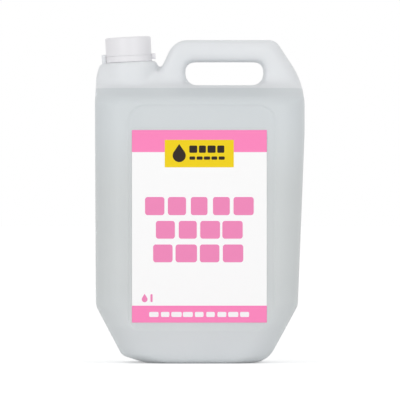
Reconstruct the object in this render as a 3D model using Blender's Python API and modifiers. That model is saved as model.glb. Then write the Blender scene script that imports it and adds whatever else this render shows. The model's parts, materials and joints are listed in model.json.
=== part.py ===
"""Five-litre can of liquid hand soap: a blow-moulded bottle with a hollow handle, a screw cap that turns up
its thread, the tamper ring that stays on the neck, the sealing liner, the front label and the soap inside.

Metres, +Z up. The origin is the middle of the base. The label faces -Y, the neck is at -X and the handle
at +X. Run it with: blender --background --python part.py
"""

import math

import bmesh
import bpy
from mathutils import Matrix, Vector

# Heights of the shoulder and of what stands on it
SHOULDER_HEIGHT = 0.2385       # the corner above which the broad faces slope in
RIDGE_RISE = 0.0160            # up to where the shoulder has closed in to the handle's depth
RIDGE_HEIGHT = SHOULDER_HEIGHT + RIDGE_RISE
SLOT_RISE = 0.0128             # up to the floor of the finger slot
SLOT_BOTTOM = SHOULDER_HEIGHT + SLOT_RISE
SLOT_HEIGHT = 0.0206
GRIP_HEIGHT = 0.0205           # between the slot and the grip's upper face
HANDLE_TOP = SLOT_BOTTOM + SLOT_HEIGHT + GRIP_HEIGHT
NOTCH_RISE = 0.0293            # up to the floor of the notch between the neck and the handle
NOTCH_FLOOR = SHOULDER_HEIGHT + NOTCH_RISE
NECK_RISE = 0.0048             # from the notch's floor up to the face of the neck's boss
NECK_FOOT = NOTCH_FLOOR + NECK_RISE
FILL_DROP = 0.0027             # from the slot's floor down to the soap
FILL_LEVEL = SLOT_BOTTOM - FILL_DROP

# Bottle, seen from the front
LEFT_SIDE = 0.0950             # the neck's side of the can, from the middle
RIGHT_SIDE = 0.0950            # the handle's side of the can, from the middle
LEFT_FOOT = 0.0705             # foot of the slope under the left side, from the middle
LEFT_FOOT_HEIGHT = 0.0070
LEFT_BASE_EDGE = 0.0490        # where the base starts to rise to the left foot
RIGHT_FOOT = 0.0606            # where the slope under the right side would meet the floor
CHAMFER_HEIGHT = 0.0520        # height at which both slopes end
LEFT_TAPER = 0.0008            # how much narrower the left side is at that height
RIGHT_TAPER = 0.0061
TAPER_TOP_DROP = 0.0305        # from the shoulder down to where the right side's taper ends
TAPER_TOP = SHOULDER_HEIGHT - TAPER_TOP_DROP
NECK_LEAN_DROP = 0.0025        # from the shoulder down to where the left side starts to lean in
NECK_SHOULDER_START = SHOULDER_HEIGHT - NECK_LEAN_DROP
HANDLE_LEAN_RISE = 0.0145      # up to the corner where the right side leans in to the handle
HANDLE_LEAN_START = SHOULDER_HEIGHT + HANDLE_LEAN_RISE
HANDLE_TOP_END = 0.0688        # where that lean would meet the grip's upper face
LEAN_RADIUS = 0.0660
GRIP_END_RADIUS = 0.0093
FOOT_RADIUS = 0.0230
LEAN_FOOT_IN = 0.0020          # how far the left side has leant in where the boss starts to show
LEAN_FOOT_DROP = 0.0080        # and how far below the notch's floor that is
LEAN_TOP_IN = 0.0080           # how far it has leant in behind the neck
LEAN_TOP_RISE = 0.0060         # and how far above the boss's face that is

# Bottle, seen from the side
HALF_DEPTH = 0.0623
SHOULDER_RADIUS = 0.0100
RIDGE_RADIUS = 0.0100
HANDLE_HALF_DEPTH = 0.0165
HANDLE_EDGE_RADIUS = 0.0090
BASE_HALF_DEPTH = 0.0520
BASE_RADIUS = 0.0080
FACE_CHAMFER_HEIGHT = 0.0330   # the broad faces slope in below this height
CORNER_RADIUS = 0.0270         # of the can's upright corners, seen from above
WALL = 0.0012

# Finger slot and the notch between the neck and the handle
SLOT_LEFT = -0.0126
SLOT_RIGHT = 0.0572
SLOT_TOP_RADIUS = 0.0070
SLOT_BOTTOM_RADIUS = 0.0095
RIM_RADIUS = 0.0085            # rounding of the slot's and the notch's rims
NOTCH_CORNER = -0.0368         # where the notch's floor meets the handle
NOTCH_TOP = -0.0227            # where the handle's end would meet the grip's upper face
NOTCH_CORNER_RADIUS = 0.0040
HANDLE_START_RADIUS = 0.0190

# Front label, and the panels that are moulded round it into both broad faces
LABEL_LEFT = -0.0610
LABEL_WIDTH = 0.1213
LABEL_BOTTOM = 0.0372
LABEL_HEIGHT = 0.1731
LABEL_RADIUS = 0.0015
LABEL_THICKNESS = 0.0003
PANEL_LEFT_MARGIN = 0.0015     # between the label's edge and the panel's
PANEL_RIGHT_MARGIN = 0.0057
PANEL_FOOT_MARGIN = 0.0102
PANEL_TOP_DROP = 0.0070        # from the shoulder down to the panel's upper edge
PANEL_LEFT = LABEL_LEFT - PANEL_LEFT_MARGIN
PANEL_RIGHT = LABEL_LEFT + LABEL_WIDTH + PANEL_RIGHT_MARGIN
PANEL_BOTTOM = LABEL_BOTTOM - PANEL_FOOT_MARGIN
PANEL_TOP = SHOULDER_HEIGHT - PANEL_TOP_DROP
PANEL_RADIUS = 0.0140
PANEL_DEPTH = 0.0011

# Raised middle of the base
PUSH_UP_HALF_WIDTH = 0.0350
PUSH_UP_HALF_DEPTH = 0.0280
PUSH_UP_RADIUS = 0.0160
PUSH_UP_RISE = 0.0030
PUSH_UP_SLOPE = 0.0080         # how far the sloping rim runs inwards

# Neck, from the face of its boss upwards along its own leaning axis
NECK_X = -0.0642
NECK_LEAN = math.radians(3.0)
BOSS_RADIUS = 0.0250
BOSS_ROUNDING = 0.0040
BOSS_DROP = 0.0330             # how far the boss reaches down into the shoulder
NECK_BORE_RADIUS = 0.0155
NECK_RADIUS = 0.0172
NECK_HEIGHT = 0.0188
BEAD_RADIUS = 0.0186
BEAD_START = 0.0030
BEAD_HEIGHT = 0.0020
LUG_WIDTH = 0.0060
LUG_HEIGHT = 0.0062
LUG_OUTER = 0.0246
LUG_GAP = 0.0008               # between the lug and the tamper ring

# Thread
THREAD_PITCH = 0.0050
THREAD_DEPTH = 0.0013
THREAD_FOOT_WIDTH = 0.0020
THREAD_CREST_WIDTH = 0.0009
THREAD_START = 0.0085
NECK_THREAD_TURNS = 1.75
CAP_THREAD_TURNS = 1.25
THREAD_SINK = 0.0005           # how far a thread's foot runs into the wall that carries it
THREAD_RUN_OUT = math.radians(30.0)
THREAD_CLEARANCE = 0.0006      # between a crest and the wall it faces
FLANK_CLEARANCE = 0.0004       # between the flanks that pull the cap down

# Cap, liner and tamper ring
CAP_RADIUS = 0.02075
CAP_TOP_THICKNESS = 0.0020
CAP_EDGE_RADIUS = 0.0016
RING_HEIGHT = 0.0050
RING_INNER_RADIUS = 0.0190
RING_LIP_RADIUS = 0.0178       # the lip that snaps in under the neck's bead
RING_LIP_HEIGHT = 0.0018
TAB_LENGTH = 0.0035
TAB_WIDTH = 0.0080
TAB_HEIGHT = 0.0040
LINER_THICKNESS = 0.0012
LINER_RADIUS = 0.0178

FIT_GAP = 0.0003               # between pieces that touch

# Fineness of the meshes
ARC_STEPS = 4
CORNER_STEPS = 5
RIM_STEPS = 3
TURN_STEPS = 40
THREAD_STEPS = 28              # a turn
CLOSEST_LEVELS = 0.0008        # between two levels of the can's loft
LEAST_FLAT = 0.0001            # half the shortest straight side of a rounded rectangle
WELD_DISTANCE = 1e-6
BEYOND = 0.0300                # how far a cutter reaches past what it cuts


def start_clean():
    """Remove the scene's objects and make the collections for the parts and the cutters."""
    for old in list(bpy.data.objects):
        bpy.data.objects.remove(old, do_unlink=True)
    made = {}
    for name in ("hand_soap_refill_pack", "cutters"):
        made[name] = bpy.data.collections.new(name)
        bpy.context.scene.collection.children.link(made[name])
    return made["hand_soap_refill_pack"], made["cutters"]


def plastic(name, colour, roughness, transmission=0.0):
    """A Principled material; transmission makes it milky or clear."""
    made = bpy.data.materials.new(name)
    made.use_nodes = True
    shader = made.node_tree.nodes["Principled BSDF"]
    shader.inputs["Base Color"].default_value = (*colour, 1.0)
    shader.inputs["Roughness"].default_value = roughness
    shader.inputs["Metallic"].default_value = 0.0
    shader.inputs["Transmission Weight"].default_value = transmission
    made.diffuse_color = (*colour, 1.0)
    return made


def object_from(name, form, collection):
    """Turn a finished bmesh into an object with outward faces, welding what coincides."""
    bmesh.ops.remove_doubles(form, verts=form.verts, dist=WELD_DISTANCE)
    bmesh.ops.recalc_face_normals(form, faces=form.faces)
    mesh = bpy.data.meshes.new(name)
    form.to_mesh(mesh)
    form.free()
    made = bpy.data.objects.new(name, mesh)
    collection.objects.link(made)
    return made


def hide_cutter(made):
    made.hide_render = True
    made.display_type = "WIRE"
    return made


def boolean(target, other, operation):
    """Cut, join or intersect the target with another object, which stays as a hidden cutter."""
    modifier = target.modifiers.new(f"{operation.lower()}_{other.name}", "BOOLEAN")
    modifier.operation = operation
    modifier.solver = "EXACT"
    modifier.object = hide_cutter(other)


def finish(made, material, crease_degrees=35.0):
    made.data.materials.append(material)
    made.data.shade_smooth()
    made.data.set_sharp_from_angle(angle=math.radians(crease_degrees))
    return made


def rounded_path(corners, closed=False):
    """Points along straight runs with an arc at each corner (u, v, radius) whose radius isn't zero."""
    points = []
    count = len(corners)
    for index, (u, v, radius) in enumerate(corners):
        here = Vector((u, v))
        inner = closed or 0 < index < count - 1
        if radius == 0.0 or not inner:
            points.append(here)
            continue
        before = (Vector(corners[index - 1][:2]) - here).normalized()
        after = (Vector(corners[(index + 1) % count][:2]) - here).normalized()
        half_angle = before.angle(after) / 2.0
        centre = here + (before + after).normalized() * (radius / math.sin(half_angle))
        reach = radius / math.tan(half_angle)
        first = here + before * reach - centre
        turn = first.angle_signed(here + after * reach - centre)
        for step in range(ARC_STEPS + 1):
            points.append(centre + Matrix.Rotation(-turn * step / ARC_STEPS, 2) @ first)
    return points


def shifted(points, distance, closed=False):
    """The path moved sideways by a distance, to its left, with mitred corners."""
    moved = []
    count = len(points)
    for index, here in enumerate(points):
        normals = []
        for a, b in ((index - 1, index), (index, index + 1)):
            if closed or (a >= 0 and b < count):
                along = points[b % count] - points[a % count]
                normals.append(Vector((-along.y, along.x)).normalized())
        mean = sum(normals, Vector((0.0, 0.0)))
        scale = 1.0 if len(normals) == 1 else 2.0 / mean.length_squared
        moved.append(here + mean * (distance * scale))
    return moved


def reach_at(path, height):
    """How far out an upright path lies at a height."""
    for low, high in zip(path, path[1:]):
        if low.y <= height <= high.y and high.y > low.y:
            return low.x + (high.x - low.x) * (height - low.y) / (high.y - low.y)
    return path[0].x if height < path[0].y else path[-1].x


def wall_path(corners, inset):
    """An upright wall's path from base to top, moved inwards, without its two runs to the middle."""
    return shifted(rounded_path(corners), inset)[1:-1]


def left_wall(inset):
    return wall_path([
        (0.0, 0.0, 0.0),
        (LEFT_BASE_EDGE, 0.0, FOOT_RADIUS),
        (LEFT_FOOT, LEFT_FOOT_HEIGHT, FOOT_RADIUS / 4.0),
        (LEFT_SIDE - LEFT_TAPER, CHAMFER_HEIGHT, FOOT_RADIUS / 3.0),
        (LEFT_SIDE, NECK_SHOULDER_START, 0.0),
        (LEFT_SIDE - LEAN_FOOT_IN, NOTCH_FLOOR - LEAN_FOOT_DROP, 0.0),
        (LEFT_SIDE - LEAN_TOP_IN, NECK_FOOT + LEAN_TOP_RISE, 0.0),
        (LEFT_SIDE - LEAN_TOP_IN, HANDLE_TOP, 0.0),
        (0.0, HANDLE_TOP, 0.0),
    ], inset)


def right_wall(inset):
    return wall_path([
        (0.0, 0.0, 0.0),
        (RIGHT_FOOT, 0.0, FOOT_RADIUS),
        (RIGHT_SIDE - RIGHT_TAPER, CHAMFER_HEIGHT, FOOT_RADIUS / 3.0),
        (RIGHT_SIDE, TAPER_TOP, 0.0),
        (RIGHT_SIDE, HANDLE_LEAN_START, LEAN_RADIUS),
        (HANDLE_TOP_END, HANDLE_TOP, GRIP_END_RADIUS),
        (0.0, HANDLE_TOP, 0.0),
    ], inset)


def face_wall(inset):
    return wall_path([
        (0.0, 0.0, 0.0),
        (BASE_HALF_DEPTH, 0.0, BASE_RADIUS),
        (HALF_DEPTH, FACE_CHAMFER_HEIGHT, SHOULDER_RADIUS),
        (HALF_DEPTH, SHOULDER_HEIGHT, SHOULDER_RADIUS),
        (HANDLE_HALF_DEPTH, RIDGE_HEIGHT, RIDGE_RADIUS),
        (HANDLE_HALF_DEPTH, HANDLE_TOP, HANDLE_EDGE_RADIUS),
        (0.0, HANDLE_TOP, 0.0),
    ], inset)


def rounded_ring(left, right, low, high, radius, low_radius=None):
    """Points of a rounded rectangle, anticlockwise, as (u, v); its low corners may have their own radius."""
    widest = min(right - left, high - low) / 2.0 - LEAST_FLAT
    ring = []
    corners = ((right, high, 0.0), (left, high, 90.0), (left, low, 180.0), (right, low, 270.0))
    for u, v, start in corners:
        asked = radius if v == high or low_radius is None else low_radius
        used = min(asked, widest)
        centre_u = u - used if u == right else u + used
        centre_v = v - used if v == high else v + used
        for step in range(CORNER_STEPS + 1):
            angle = math.radians(start + 90.0 * step / CORNER_STEPS)
            ring.append((centre_u + used * math.cos(angle), centre_v + used * math.sin(angle)))
    return ring


def loft(name, rings, collection):
    """A closed solid through rings of equally many points."""
    form = bmesh.new()
    rows = [[form.verts.new(point) for point in ring] for ring in rings]
    for low, high in zip(rows, rows[1:]):
        for index in range(len(low)):
            after = (index + 1) % len(low)
            form.faces.new((low[index], low[after], high[after], high[index]))
    form.faces.new(rows[0])
    form.faces.new(rows[-1])
    return object_from(name, form, collection)


def can_form(name, inset, collection):
    """The whole can without its neck, slot and panels: rounded rectangles lofted from base to grip."""
    left, right, face = left_wall(inset), right_wall(inset), face_wall(inset)
    levels = []
    for height in sorted(point.y for point in left + right + face):
        if not levels or height - levels[-1] > CLOSEST_LEVELS:
            levels.append(height)
    levels[-1] = HANDLE_TOP - inset
    rings = []
    for height in levels:
        depth = reach_at(face, height)
        ring = rounded_ring(-reach_at(left, height), reach_at(right, height), -depth, depth, CORNER_RADIUS - inset)
        rings.append([(x, y, height) for x, y in ring])
    return loft(name, rings, collection)


def rim_stations():
    """Depths and widenings of a cutter that rounds the rims where it leaves the handle."""
    stations = [(HANDLE_HALF_DEPTH + BEYOND, RIM_RADIUS)]
    for step in range(RIM_STEPS + 1):
        angle = math.radians(90.0 * step / RIM_STEPS)
        depth = HANDLE_HALF_DEPTH - RIM_RADIUS * (1.0 - math.cos(angle))
        stations.append((depth, RIM_RADIUS * (1.0 - math.sin(angle))))
    return stations + [(-depth, widening) for depth, widening in reversed(stations)]


def slot_cutter(name, inset, collection):
    """The finger slot, wider towards both faces so that the grip comes out round."""
    rings = []
    for depth, widening in rim_stations():
        grow = widening + inset
        ring = rounded_ring(SLOT_LEFT - grow, SLOT_RIGHT + grow, SLOT_BOTTOM - inset,
                            HANDLE_TOP - GRIP_HEIGHT + grow, SLOT_TOP_RADIUS + grow, SLOT_BOTTOM_RADIUS + grow)
        rings.append([(x, depth, z) for x, z in ring])
    return loft(name, rings, collection)


def notch_cutter(name, inset, collection):
    """Everything above the ridge on the neck's side of the handle, with the handle's rounded end."""
    above = HANDLE_TOP + BEYOND
    outline = rounded_path([
        (-LEFT_SIDE - BEYOND, NOTCH_FLOOR, 0.0),
        (NOTCH_CORNER, NOTCH_FLOOR, NOTCH_CORNER_RADIUS),
        (NOTCH_TOP, HANDLE_TOP + FIT_GAP, HANDLE_START_RADIUS),
        (NOTCH_TOP + HANDLE_START_RADIUS, HANDLE_TOP + FIT_GAP, 0.0),
        (NOTCH_TOP + HANDLE_START_RADIUS, above, 0.0),
        (-LEFT_SIDE - BEYOND, above, 0.0),
    ], closed=True)
    rings = []
    for depth, widening in rim_stations():
        ring = shifted(outline, -widening - inset, closed=True)
        rings.append([(point.x, depth, point.y) for point in ring])
    return loft(name, rings, collection)


def panel_cutter(name, inset, side, collection):
    """The shallow recess of one broad face; side is -1 for the front and 1 for the back."""
    floor = HALF_DEPTH - PANEL_DEPTH - inset
    rings = []
    for depth, widening in ((floor, 0.0), (HALF_DEPTH + BEYOND, BEYOND / 6.0)):
        grow = widening + inset
        ring = rounded_ring(PANEL_LEFT - grow, PANEL_RIGHT + grow, PANEL_BOTTOM - grow,
                            PANEL_TOP + grow, PANEL_RADIUS + grow)
        rings.append([(x, side * depth, z) for x, z in ring])
    return loft(name, rings, collection)


def push_up_cutter(name, inset, collection):
    """The raised middle of the base, which leaves a flat rim for the can to stand on."""
    rings = []
    for height, shrink in ((-BEYOND, 0.0), (0.0, 0.0), (PUSH_UP_RISE + inset, PUSH_UP_SLOPE)):
        grow = inset - shrink
        ring = rounded_ring(-PUSH_UP_HALF_WIDTH - grow, PUSH_UP_HALF_WIDTH + grow, -PUSH_UP_HALF_DEPTH - grow,
                            PUSH_UP_HALF_DEPTH + grow, PUSH_UP_RADIUS + grow)
        rings.append([(x, y, height) for x, y in ring])
    return loft(name, rings, collection)


def turned(name, profile, axis, collection):
    """A solid turned about the neck's axis from (radius, height) points, top to bottom on its outer side."""
    form = bmesh.new()
    row = [form.verts.new((radius, 0.0, height)) for radius, height in profile]
    ends_open = profile[0][0] > 0.0
    for a, b in zip(row, row[1:]):
        form.edges.new((a, b))
    if ends_open:
        form.edges.new((row[-1], row[0]))
    mesh = bpy.data.meshes.new(name)
    form.to_mesh(mesh)
    form.free()
    made = bpy.data.objects.new(name, mesh)
    collection.objects.link(made)
    made.parent = axis
    screw = made.modifiers.new("turn", "SCREW")
    screw.steps = TURN_STEPS
    screw.render_steps = TURN_STEPS
    screw.use_merge_vertices = True
    screw.merge_threshold = WELD_DISTANCE
    screw.use_smooth_shade = True
    return made


def thread(name, wall_radius, inwards, start, turns, axis, collection):
    """A right-handed thread that runs out at both ends, standing outwards or inwards from a wall."""
    side = -1.0 if inwards else 1.0
    foot = wall_radius - side * THREAD_SINK
    steps = round(THREAD_STEPS * turns)
    full_turn = 2.0 * math.pi * turns
    rings = []
    for step in range(steps + 1):
        angle = full_turn * step / steps
        share = min(1.0, angle / THREAD_RUN_OUT, (full_turn - angle) / THREAD_RUN_OUT)
        crest = foot + side * (THREAD_SINK + THREAD_DEPTH * share - (1.0 - share) * THREAD_SINK / 2.0)
        height = start + THREAD_PITCH * angle / (2.0 * math.pi)
        section = ((foot, -THREAD_FOOT_WIDTH), (foot, THREAD_FOOT_WIDTH),
                   (crest, THREAD_CREST_WIDTH), (crest, -THREAD_CREST_WIDTH))
        rings.append([(radius * math.cos(angle), radius * math.sin(angle), height + width / 2.0)
                      for radius, width in section])
    made = loft(name, rings, collection)
    made.parent = axis
    return made


def block(name, sizes, centre, axis, collection):
    """A box of the given sizes, on the neck's axis."""
    form = bmesh.new()
    bmesh.ops.create_cube(form, size=1.0)
    bmesh.ops.scale(form, vec=sizes, verts=form.verts)
    bmesh.ops.translate(form, vec=centre, verts=form.verts)
    made = object_from(name, form, collection)
    made.parent = axis
    return made


def boss_profile(inset):
    """The neck's boss, from its face down into the shoulder."""
    radius = BOSS_RADIUS - inset
    face = -inset
    rounding = BOSS_ROUNDING - inset / 2.0
    points = [(0.0, face)]
    for step in range(ARC_STEPS + 1):
        angle = math.radians(90.0 * step / ARC_STEPS)
        points.append((radius - rounding + rounding * math.sin(angle), face - rounding + rounding * math.cos(angle)))
    return points + [(radius, -BOSS_DROP + inset), (0.0, -BOSS_DROP + inset)]


def bottle_form(name, inset, axis, collection, cutters):
    """The can with its handle and boss but no neck, every surface moved inwards by the inset."""
    made = can_form(name, inset, collection)
    boolean(made, notch_cutter(f"{name}_notch", inset, cutters), "DIFFERENCE")
    boolean(made, turned(f"{name}_boss", boss_profile(inset), axis, cutters), "UNION")
    boolean(made, slot_cutter(f"{name}_slot", inset, cutters), "DIFFERENCE")
    boolean(made, panel_cutter(f"{name}_front_panel", inset, -1.0, cutters), "DIFFERENCE")
    boolean(made, panel_cutter(f"{name}_back_panel", inset, 1.0, cutters), "DIFFERENCE")
    boolean(made, push_up_cutter(f"{name}_push_up", inset, cutters), "DIFFERENCE")
    return made


def make_bottle(axis, parts, cutters):
    """The blow-moulded can: its outside with the neck joined on, less the same form one wall further in."""
    bottle = bottle_form("bottle", 0.0, axis, parts, cutters)
    neck = turned("neck_outside", [
        (0.0, NECK_HEIGHT),
        (NECK_RADIUS, NECK_HEIGHT),
        (NECK_RADIUS, BEAD_START + BEAD_HEIGHT),
        (BEAD_RADIUS, BEAD_START + BEAD_HEIGHT / 2.0),
        (BEAD_RADIUS, BEAD_START),
        (NECK_RADIUS, BEAD_START),
        (NECK_RADIUS, -BOSS_ROUNDING),
        (0.0, -BOSS_ROUNDING),
    ], axis, cutters)
    neck_thread = thread("neck_thread", NECK_RADIUS, False, THREAD_START, NECK_THREAD_TURNS, axis, cutters)
    lug_inner = CAP_RADIUS + LUG_GAP
    lug = block("neck_lug", (LUG_OUTER - lug_inner, LUG_WIDTH, LUG_HEIGHT + BOSS_ROUNDING),
                (-(LUG_OUTER + lug_inner) / 2.0, 0.0, (LUG_HEIGHT - BOSS_ROUNDING) / 2.0), axis, cutters)
    bore = turned("neck_bore", [
        (0.0, NECK_HEIGHT + BEYOND),
        (NECK_BORE_RADIUS, NECK_HEIGHT + BEYOND),
        (NECK_BORE_RADIUS, -BOSS_DROP / 2.0),
        (0.0, -BOSS_DROP / 2.0),
    ], axis, cutters)
    inside = bottle_form("bottle_inside", WALL, axis, cutters, cutters)
    for joined in (neck, neck_thread, lug):
        boolean(bottle, joined, "UNION")
    boolean(bottle, inside, "DIFFERENCE")
    boolean(bottle, bore, "DIFFERENCE")
    return bottle


def make_soap(parts, cutters):
    """The soap: the inside of the bottle less a fitting gap, up to the fill level."""
    soap = can_form("liquid_soap", WALL + FIT_GAP, parts)
    inset = WALL + FIT_GAP
    for side, name in ((-1.0, "soap_front_panel"), (1.0, "soap_back_panel")):
        boolean(soap, panel_cutter(name, inset, side, cutters), "DIFFERENCE")
    boolean(soap, push_up_cutter("soap_push_up", inset, cutters), "DIFFERENCE")
    headroom = HANDLE_TOP + BEYOND - FILL_LEVEL
    width = LEFT_SIDE + RIGHT_SIDE + BEYOND
    above = block("soap_above_level", (width, width, headroom),
                  (0.0, 0.0, FILL_LEVEL + headroom / 2.0), None, cutters)
    boolean(soap, above, "DIFFERENCE")
    return soap


def make_cap(axis, parts, cutters):
    """The screw cap: a turned cup with its thread standing inwards from the skirt."""
    foot = FIT_GAP + RING_HEIGHT + FIT_GAP
    top = NECK_HEIGHT + FIT_GAP + LINER_THICKNESS + FIT_GAP + CAP_TOP_THICKNESS
    inner = NECK_RADIUS + THREAD_DEPTH + THREAD_CLEARANCE
    edge = []
    for step in range(ARC_STEPS + 1):
        angle = math.radians(90.0 * step / ARC_STEPS)
        edge.append((CAP_RADIUS - CAP_EDGE_RADIUS * (1.0 - math.sin(angle)),
                     top - CAP_EDGE_RADIUS * (1.0 - math.cos(angle))))
    cap = turned("cap", [(0.0, top), *edge, (CAP_RADIUS, foot), (inner, foot),
                         (inner, top - CAP_TOP_THICKNESS), (0.0, top - CAP_TOP_THICKNESS)], axis, parts)
    lower_flanks = THREAD_FOOT_WIDTH / 2.0 + THREAD_CREST_WIDTH / 2.0 + FLANK_CLEARANCE
    start = THREAD_START - lower_flanks
    cap_thread = thread("cap_thread", inner, True, start, CAP_THREAD_TURNS, axis, cutters)
    boolean(cap, cap_thread, "UNION")
    return cap


def make_tamper_ring(axis, parts, cutters):
    """The band left on the neck, with the lip that holds it under the bead and its pull tab."""
    ring = turned("tamper_ring", [
        (CAP_RADIUS, FIT_GAP + RING_HEIGHT),
        (CAP_RADIUS, FIT_GAP),
        (RING_LIP_RADIUS, FIT_GAP),
        (RING_LIP_RADIUS, FIT_GAP + RING_LIP_HEIGHT),
        (RING_INNER_RADIUS, FIT_GAP + RING_LIP_HEIGHT + RING_INNER_RADIUS - RING_LIP_RADIUS),
        (RING_INNER_RADIUS, FIT_GAP + RING_HEIGHT),
    ], axis, parts)
    band = CAP_RADIUS - RING_INNER_RADIUS
    middle = FIT_GAP + RING_HEIGHT / 2.0
    tab = block("ring_tab", (TAB_LENGTH + band / 2.0, TAB_WIDTH, TAB_HEIGHT),
                (CAP_RADIUS + (TAB_LENGTH - band / 2.0) / 2.0, 0.0, middle), axis, cutters)
    boolean(ring, tab, "UNION")
    return ring


def make_liner(axis, parts):
    """The foam wad between the neck's lip and the cap."""
    low = NECK_HEIGHT + FIT_GAP
    return turned("cap_liner", [
        (0.0, low + LINER_THICKNESS),
        (LINER_RADIUS, low + LINER_THICKNESS),
        (LINER_RADIUS, low),
        (0.0, low),
    ], axis, parts)


def make_label(parts):
    """The front label, lying in its panel."""
    floor = -(HALF_DEPTH - PANEL_DEPTH) - FIT_GAP
    ring = rounded_ring(LABEL_LEFT, LABEL_LEFT + LABEL_WIDTH, LABEL_BOTTOM, LABEL_BOTTOM + LABEL_HEIGHT,
                        LABEL_RADIUS)
    rings = [[(x, depth, z) for x, z in ring] for depth in (floor, floor - LABEL_THICKNESS)]
    return loft("front_label", rings, parts)


def main():
    parts, cutters = start_clean()
    axis = bpy.data.objects.new("neck_axis", None)
    axis.location = (NECK_X, 0.0, NECK_FOOT)
    axis.rotation_euler = (0.0, -NECK_LEAN, 0.0)
    parts.objects.link(axis)

    milky = plastic("blow_moulded_polyethylene", (0.74, 0.77, 0.78), 0.35, 0.6)
    soap_tint = plastic("liquid_hand_soap", (0.62, 0.66, 0.68), 0.05, 0.9)
    white = plastic("moulded_white_polypropylene", (0.81, 0.80, 0.82), 0.38)
    foam = plastic("polyethylene_foam", (0.86, 0.86, 0.84), 0.8)
    paper = plastic("printed_film_label", (0.95, 0.92, 0.94), 0.3)

    bottle = make_bottle(axis, parts, cutters)
    finish(bottle, milky)
    finish(make_soap(parts, cutters), soap_tint)
    finish(make_cap(axis, parts, cutters), white)
    finish(make_tamper_ring(axis, parts, cutters), white)
    finish(make_liner(axis, parts), foam)
    finish(make_label(parts), paper)


main()
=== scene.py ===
"""A five-litre can of liquid hand soap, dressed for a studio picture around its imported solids.

The can is one milky blow moulding with a hollow handle, filled to its level with clear soap. A white screw
cap turns on its neck above a tamper ring, and a printed film label lies in the front panel.
"""

import json
import logging
import math
from dataclasses import dataclass, field
from enum import Enum
from typing import Any, Iterable, Optional, Sequence

import bmesh
import bpy
from mathutils import Matrix, Vector


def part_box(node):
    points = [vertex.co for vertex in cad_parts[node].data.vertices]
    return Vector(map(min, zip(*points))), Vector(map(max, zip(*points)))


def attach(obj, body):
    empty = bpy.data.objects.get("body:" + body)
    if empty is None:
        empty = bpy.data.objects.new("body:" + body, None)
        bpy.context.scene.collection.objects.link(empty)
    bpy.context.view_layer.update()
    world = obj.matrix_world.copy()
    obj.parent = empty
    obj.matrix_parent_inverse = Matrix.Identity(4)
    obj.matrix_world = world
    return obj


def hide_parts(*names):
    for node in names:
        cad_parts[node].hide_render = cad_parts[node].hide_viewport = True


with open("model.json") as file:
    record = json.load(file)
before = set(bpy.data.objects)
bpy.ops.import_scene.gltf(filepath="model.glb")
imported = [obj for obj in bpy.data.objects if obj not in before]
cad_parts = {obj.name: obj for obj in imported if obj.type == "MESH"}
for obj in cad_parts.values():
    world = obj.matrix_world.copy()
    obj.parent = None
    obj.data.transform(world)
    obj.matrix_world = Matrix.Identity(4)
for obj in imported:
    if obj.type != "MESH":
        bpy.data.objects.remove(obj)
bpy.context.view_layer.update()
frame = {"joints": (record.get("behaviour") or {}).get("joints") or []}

LOG = logging.getLogger("soap_can")
MM = 0.001
BEYOND = 30.0 * MM             # how far a cutter reaches past what it cuts
LEAST_FLAT = 0.01 * MM         # half the shortest straight side of a rounded rectangle
WELD = 1e-7                    # metres, within which two points are one
BEVEL_STEPS = 3
WHITE = "#FFFFFF"
SENSOR_WIDTH = 36.0            # millimetres, the width of a full-frame sensor
MIX_SHARE, MIX_FROM, MIX_TO = 0, 6, 7      # the inputs of a Mix node that mixes colours

Piece = bpy.types.Object
Material = bpy.types.Material
Tree = bpy.types.NodeTree
Node = bpy.types.Node
Path = list[Vector]
Ring = list[tuple[float, float]]
Solids = Iterable[tuple[str, Piece]]


class Body(Enum):
    """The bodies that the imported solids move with."""

    CAN = "can"
    LINER = "liner"
    CAP = "screw_cap"


class Slot(Enum):
    """The record's material slots."""

    WALL = "blow_moulded_polyethylene"
    SOAP = "liquid_hand_soap"
    CLOSURE = "moulded_white_polypropylene"
    FOAM = "polyethylene_foam"
    FILM = "printed_film_label"


def linear(colour: str) -> tuple[float, float, float, float]:
    """Turn an sRGB hex colour into linear red, green, blue and full alpha.

    Args:
        colour: A colour such as "#E4E8EA".

    Returns:
        The linear colour with alpha 1.
    """
    shares = [int(colour[place:place + 2], 16) / 255.0 for place in (1, 3, 5)]
    red, green, blue = (
        share / 12.92 if share <= 0.04045 else ((share + 0.055) / 1.055) ** 2.4 for share in shares)
    return red, green, blue, 1.0


def add_node(tree: Tree, kind: str, inputs: Optional[dict[Any, Any]] = None,
             **settings: Any) -> Node:
    """Add a node to a shader or geometry tree, with its settings and links.

    Args:
        tree: The tree that gets the node.
        kind: The node's Blender type.
        inputs: Socket names or numbers, each with a value, with the output that feeds it, or with the node
            whose first output in use feeds it.
        **settings: The node's own properties.

    Returns:
        The new node.
    """
    node = tree.nodes.new(kind)
    for name, value in settings.items():
        setattr(node, name, value)
    for socket, value in (inputs or {}).items():
        if isinstance(value, Node):
            value = next(output for output in value.outputs if output.enabled)
        if isinstance(value, bpy.types.NodeSocket):
            tree.links.new(value, node.inputs[socket])
        else:
            node.inputs[socket].default_value = value
    return node


def new_material(name: str) -> tuple[Material, Tree]:
    """Make a material with an empty node tree.

    Args:
        name: The material's name.

    Returns:
        The material and its tree.
    """
    material = bpy.data.materials.new(name)
    material.use_nodes = True
    material.node_tree.nodes.clear()
    return material, material.node_tree


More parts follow.
